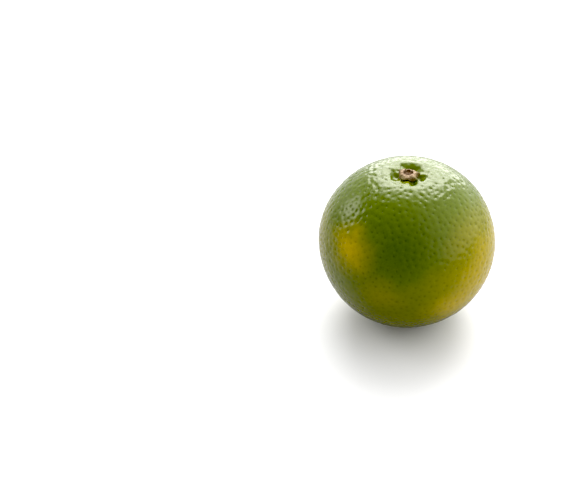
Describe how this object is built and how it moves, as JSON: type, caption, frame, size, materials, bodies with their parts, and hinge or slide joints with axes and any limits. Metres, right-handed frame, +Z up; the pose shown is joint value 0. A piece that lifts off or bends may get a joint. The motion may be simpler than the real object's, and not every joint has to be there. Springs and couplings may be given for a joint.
{
  "type": "orange",
  "caption": "Fresh round sweet orange, slightly flattened, green skin turning yellow, with a star-shaped calyx at its stem end, standing on a small flat spot.",
  "frame": {"origin": "middle of the small flat spot that the orange stands on", "axes": "+Z up the fruit's own axis, from the rest spot to the stem end; +X to the viewer's right and +Y away from the viewer; the fruit is round about Z, so X and Y only fix where its sepals and colour patches lie"},
  "size_m": [0.075, 0.075, 0.0709],
  "materials": {
    "rind": "waxy citrus rind, glossy, dimpled with oil glands, dark green turning yellow-green and yellow-orange in patches",
    "calyx": "dry, matt and woody, tan on the ring, brown in the hollow scar, olive green towards the sepals' tips"
  },
  "bodies": {
    "root": {"fruit": "rind", "calyx": "calyx"}
  },
  "joints": []
}
